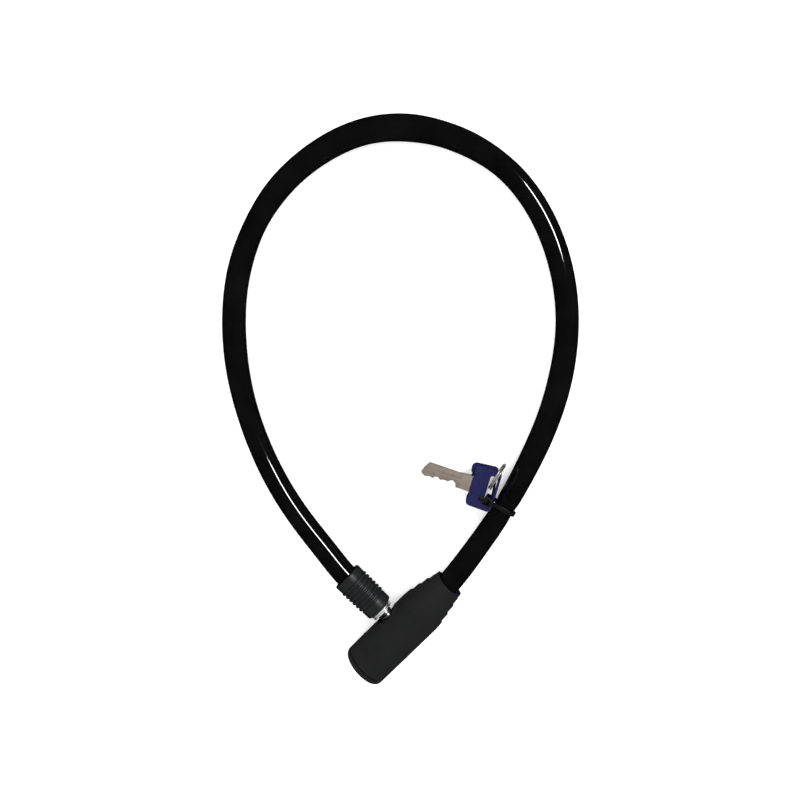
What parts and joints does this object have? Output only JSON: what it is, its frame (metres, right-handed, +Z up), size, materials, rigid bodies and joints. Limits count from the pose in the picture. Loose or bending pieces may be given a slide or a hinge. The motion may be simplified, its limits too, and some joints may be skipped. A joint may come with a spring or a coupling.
{
  "type": "cable luggage lock",
  "caption": "Keyed cable lock: a soft-touch round barrel with a tapered, ribbed neck, a sheathed steel cable whose studded ferrule plugs into the barrel's side, and tied-on keys.",
  "frame": {"origin": "on the resting surface, below the point where the barrel's axis crosses the stud's axis", "axes": "+X along the barrel from the keyhole end to the cable neck, +Y along the stud towards the ferrule, +Z up from the resting surface"},
  "size_m": [0.2395, 0.22, 0.024],
  "materials": {
    "soft_touch": "matte soft-touch moulding, faintly greenish dark grey",
    "grip_plastic": "satin dark grey moulding",
    "bush_plastic": "satin dark blue moulding",
    "rubber": "black rubber",
    "zinc": "bare zinc die casting, satin",
    "brass": "machined brass",
    "steel": "machined steel",
    "spring_steel": "drawn bright spring wire",
    "chrome": "polished chrome plate",
    "sheath_vinyl": "glossy black vinyl sheath",
    "wire_rope": "galvanised stranded rope",
    "key_plastic": "satin dark blue moulding",
    "key_nickel": "worn nickel-plated brass",
    "tie_nylon": "black nylon"
  },
  "bodies": {
    "lock_body": {"barrel_cover": "soft_touch", "end_cap": "soft_touch", "lock_case": "zinc", "socket_gasket": "rubber", "neck_bush": "bush_plastic", "cylinder_shell": "brass", "latch_spring": "spring_steel", "cable_sheath": "sheath_vinyl", "cable_core": "wire_rope", "anchor_sleeve": "zinc", "anchor_screw": "steel"},
    "bolt_end": {"locking_stud": "chrome", "stud_collar": "chrome", "ferrule_cover": "grip_plastic", "ferrule_crimp": "zinc"},
    "plug": {"lock_plug": "steel", "plug_clip": "spring_steel", "plug_cam": "steel", "wafer_spring_1": "spring_steel", "wafer_spring_2": "spring_steel", "wafer_spring_3": "spring_steel", "wafer_spring_4": "spring_steel"},
    "wafer_a": {"wafer_1": "brass"},
    "wafer_b": {"wafer_2": "brass"},
    "wafer_c": {"wafer_3": "brass"},
    "wafer_d": {"wafer_4": "brass"},
    "latch": {"latch_plate": "steel"},
    "tie": {"cable_tie": "tie_nylon"},
    "key_1": {"key_1_head": "key_plastic", "key_1_blade": "key_nickel"},
    "key_2": {"key_2_head": "key_plastic", "key_2_blade": "key_nickel"},
    "ring": {"key_ring": "spring_steel"}
  },
  "joints": [
    {"name": "bolt_withdraw", "type": "slide", "parent": "lock_body", "child": "bolt_end", "axis": [0, 1, 0], "range_m": [0, 0.024], "deforming": ["cable_sheath", "cable_core"]},
    {"name": "plug_turn", "type": "hinge", "parent": "lock_body", "child": "plug", "pos_m": [-0.02, 0, 0.012], "axis": [1, 0, 0], "range_deg": [0, 90]},
    {"name": "latch_slide", "type": "slide", "parent": "lock_body", "child": "latch", "axis": [1, 0, 0], "range_m": [0, 0.002], "deforming": ["latch_spring"]},
    {"name": "wafer_a_lift", "type": "slide", "parent": "plug", "child": "wafer_a", "axis": [0, 0, 1], "range_m": [0, 0.0008], "deforming": ["wafer_spring_1"]},
    {"name": "wafer_b_lift", "type": "slide", "parent": "plug", "child": "wafer_b", "axis": [0, 0, 1], "range_m": [0, 0.0008], "deforming": ["wafer_spring_2"]},
    {"name": "wafer_c_lift", "type": "slide", "parent": "plug", "child": "wafer_c", "axis": [0, 0, 1], "range_m": [0, 0.0008], "deforming": ["wafer_spring_3"]},
    {"name": "wafer_d_lift", "type": "slide", "parent": "plug", "child": "wafer_d", "axis": [0, 0, 1], "range_m": [0, 0.0008], "deforming": ["wafer_spring_4"]},
    {"name": "tie_roll", "type": "hinge", "parent": "lock_body", "child": "tie", "pos_m": [0.0824, 0.00736, 0.00755], "axis": [0.9717, 0.2208, -0.0837], "range_deg": [0, 60]},
    {"name": "key_1_swing", "type": "hinge", "parent": "tie", "child": "key_1", "pos_m": [0.083, 0.0188, 0.012], "axis": [0, 0, 1], "range_deg": [-5, 3]},
    {"name": "key_2_swing", "type": "hinge", "parent": "tie", "child": "key_2", "pos_m": [0.083, 0.0188, 0.0066], "axis": [0, 0, 1], "range_deg": [-8, 1]},
    {"name": "ring_swing", "type": "hinge", "parent": "tie", "child": "ring", "pos_m": [0.085, 0.0196, 0.0094], "axis": [0, 0, 1], "range_deg": [-6, 20]}
  ],
  "couplings": [
    {"joint": "latch_slide", "follows": "plug_turn", "m_per_rad": 0.001273}
  ]
}
